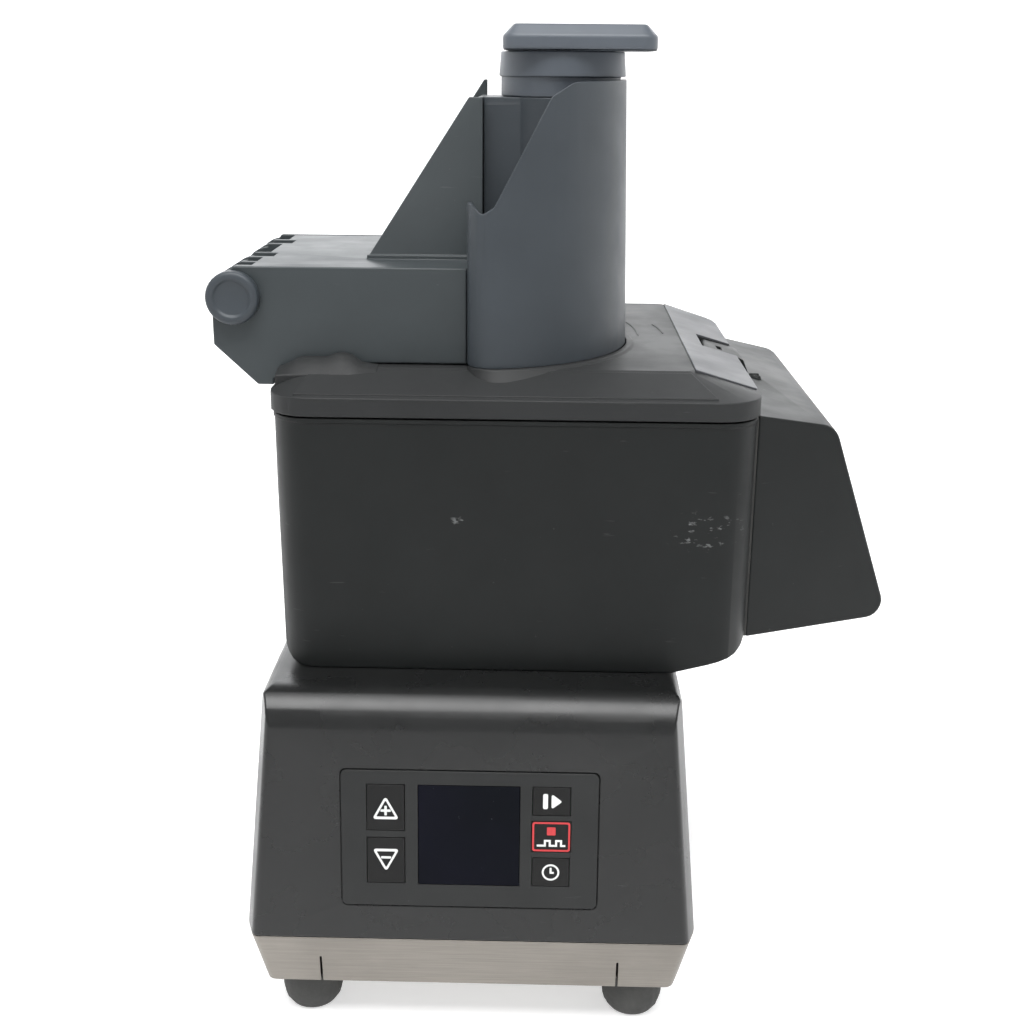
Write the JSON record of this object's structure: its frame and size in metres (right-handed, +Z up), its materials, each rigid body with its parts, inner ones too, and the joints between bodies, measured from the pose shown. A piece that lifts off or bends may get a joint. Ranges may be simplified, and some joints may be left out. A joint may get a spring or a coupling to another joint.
{
  "type": "vegetable dicer",
  "caption": "Bench-top electric vegetable dicer with a tilted control panel, cutting chamber, hinged lid, half-moon hopper, lever pusher and side outlet.",
  "frame": {"origin": "on the bench, under the middle of the machine's overall box", "axes": "+X towards the outlet (the right hand of a person facing the control panel), +Y to the back, +Z up"},
  "size_m": [0.378, 0.309, 0.533],
  "materials": {
    "rubber_black": "matt moulded rubber",
    "brushed_steel": "horizontally brushed stainless",
    "housing_black": "fine-textured satin black",
    "chamber_black": "satin near-black",
    "lid_grey": "satin dark grey",
    "hopper_grey": "semi-gloss blue-grey moulding",
    "lever_grey": "satin green-grey moulding",
    "panel_film": "matt keypad overlay",
    "key_black": "satin black key with white symbol",
    "display_glass": "polished dark display",
    "board_green": "solder-masked circuit board",
    "machined_aluminium": "machined",
    "bright_steel": "ground stainless",
    "motor_grey": "powder coated"
  },
  "bodies": {
    "base": {"foot_front_left": "rubber_black", "foot_front_right": "rubber_black", "foot_rear_left": "rubber_black", "foot_rear_right": "rubber_black", "base_pan": "brushed_steel", "motor_housing": "housing_black", "control_panel": "panel_film", "display_screen": "display_glass", "control_board": "board_green", "bearing_housing": "machined_aluminium", "lower_bearing": "bright_steel", "upper_bearing": "bright_steel", "drive_belt": "rubber_black", "motor_body": "motor_grey", "motor_mount": "bright_steel", "cable_gland": "rubber_black", "cutting_chamber": "chamber_black", "shaft_seal": "rubber_black", "lid_hinge_pin": "bright_steel", "outlet_chute": "chamber_black", "dicing_grid": "bright_steel", "grid_frame": "bright_steel", "chamber_bolt_1": "bright_steel", "chamber_bolt_2": "bright_steel", "chamber_bolt_3": "bright_steel", "chamber_bolt_4": "bright_steel"},
    "drive": {"main_shaft": "bright_steel", "driven_pulley": "machined_aluminium", "ejector_disc": "machined_aluminium", "slicing_disc": "machined_aluminium", "disc_nut": "bright_steel", "slicing_blade_1": "bright_steel", "slicing_blade_2": "bright_steel", "slicing_blade_3": "bright_steel"},
    "motor_rotor": {"motor_shaft": "bright_steel", "motor_pulley": "machined_aluminium"},
    "lid": {"lid": "lid_grey", "lid_seal": "rubber_black", "hopper": "hopper_grey", "hinge_bracket": "lever_grey", "lever_pin": "hopper_grey", "latch_pin": "bright_steel"},
    "latch": {"lid_latch": "chamber_black"},
    "lever": {"lever_arm": "lever_grey", "pusher": "hopper_grey", "pusher_screw_1": "bright_steel", "pusher_screw_2": "bright_steel"},
    "tube_pusher": {"tube_pusher": "hopper_grey", "tube_pusher_cap": "hopper_grey"},
    "key_speed_up": {"key_speed_up": "key_black"},
    "key_speed_down": {"key_speed_down": "key_black"},
    "key_start": {"key_start": "key_black"},
    "key_stop": {"key_stop": "key_black"},
    "key_timer": {"key_timer": "key_black"}
  },
  "joints": [
    {"name": "drive_spin", "type": "hinge", "parent": "base", "child": "drive", "pos_m": [-0.052, 0.008, 0.2], "axis": [0, 0, 1], "continuous": true},
    {"name": "motor_spin", "type": "hinge", "parent": "base", "child": "motor_rotor", "pos_m": [-0.052, 0.096, 0.1], "axis": [0, 0, 1], "continuous": true},
    {"name": "lid_hinge", "type": "hinge", "parent": "base", "child": "lid", "pos_m": [-0.157, 0.057, 0.334], "axis": [0, -1, 0], "range_deg": [0, 85]},
    {"name": "lever_hinge", "type": "hinge", "parent": "lid", "child": "lever", "pos_m": [-0.1747, 0.0085, 0.393], "axis": [0, -1, 0], "range_deg": [0, 95]},
    {"name": "tube_pusher_slide", "type": "slide", "parent": "lever", "child": "tube_pusher", "axis": [0, 0, 1], "range_m": [0, 0.165]},
    {"name": "latch_hinge", "type": "hinge", "parent": "lid", "child": "latch", "pos_m": [0.0902, 0.035, 0.3484], "axis": [0, -1, 0], "range_deg": [0, 80]},
    {"name": "key_speed_up_press", "type": "slide", "parent": "base", "child": "key_speed_up", "axis": [0, 0.9961, -0.0877], "range_m": [0, 0.0005], "stiffness_N_per_m": 1200, "springref_m": -0.0003},
    {"name": "key_speed_down_press", "type": "slide", "parent": "base", "child": "key_speed_down", "axis": [0, 0.9961, -0.0877], "range_m": [0, 0.0005], "stiffness_N_per_m": 1200, "springref_m": -0.0003},
    {"name": "key_start_press", "type": "slide", "parent": "base", "child": "key_start", "axis": [0, 0.9961, -0.0877], "range_m": [0, 0.0005], "stiffness_N_per_m": 1200, "springref_m": -0.0003},
    {"name": "key_stop_press", "type": "slide", "parent": "base", "child": "key_stop", "axis": [0, 0.9961, -0.0877], "range_m": [0, 0.0005], "stiffness_N_per_m": 1200, "springref_m": -0.0003},
    {"name": "key_timer_press", "type": "slide", "parent": "base", "child": "key_timer", "axis": [0, 0.9961, -0.0877], "range_m": [0, 0.0005], "stiffness_N_per_m": 1200, "springref_m": -0.0003}
  ],
  "couplings": [
    {"joint": "motor_spin", "follows": "drive_spin", "ratio": 2.8571}
  ]
}
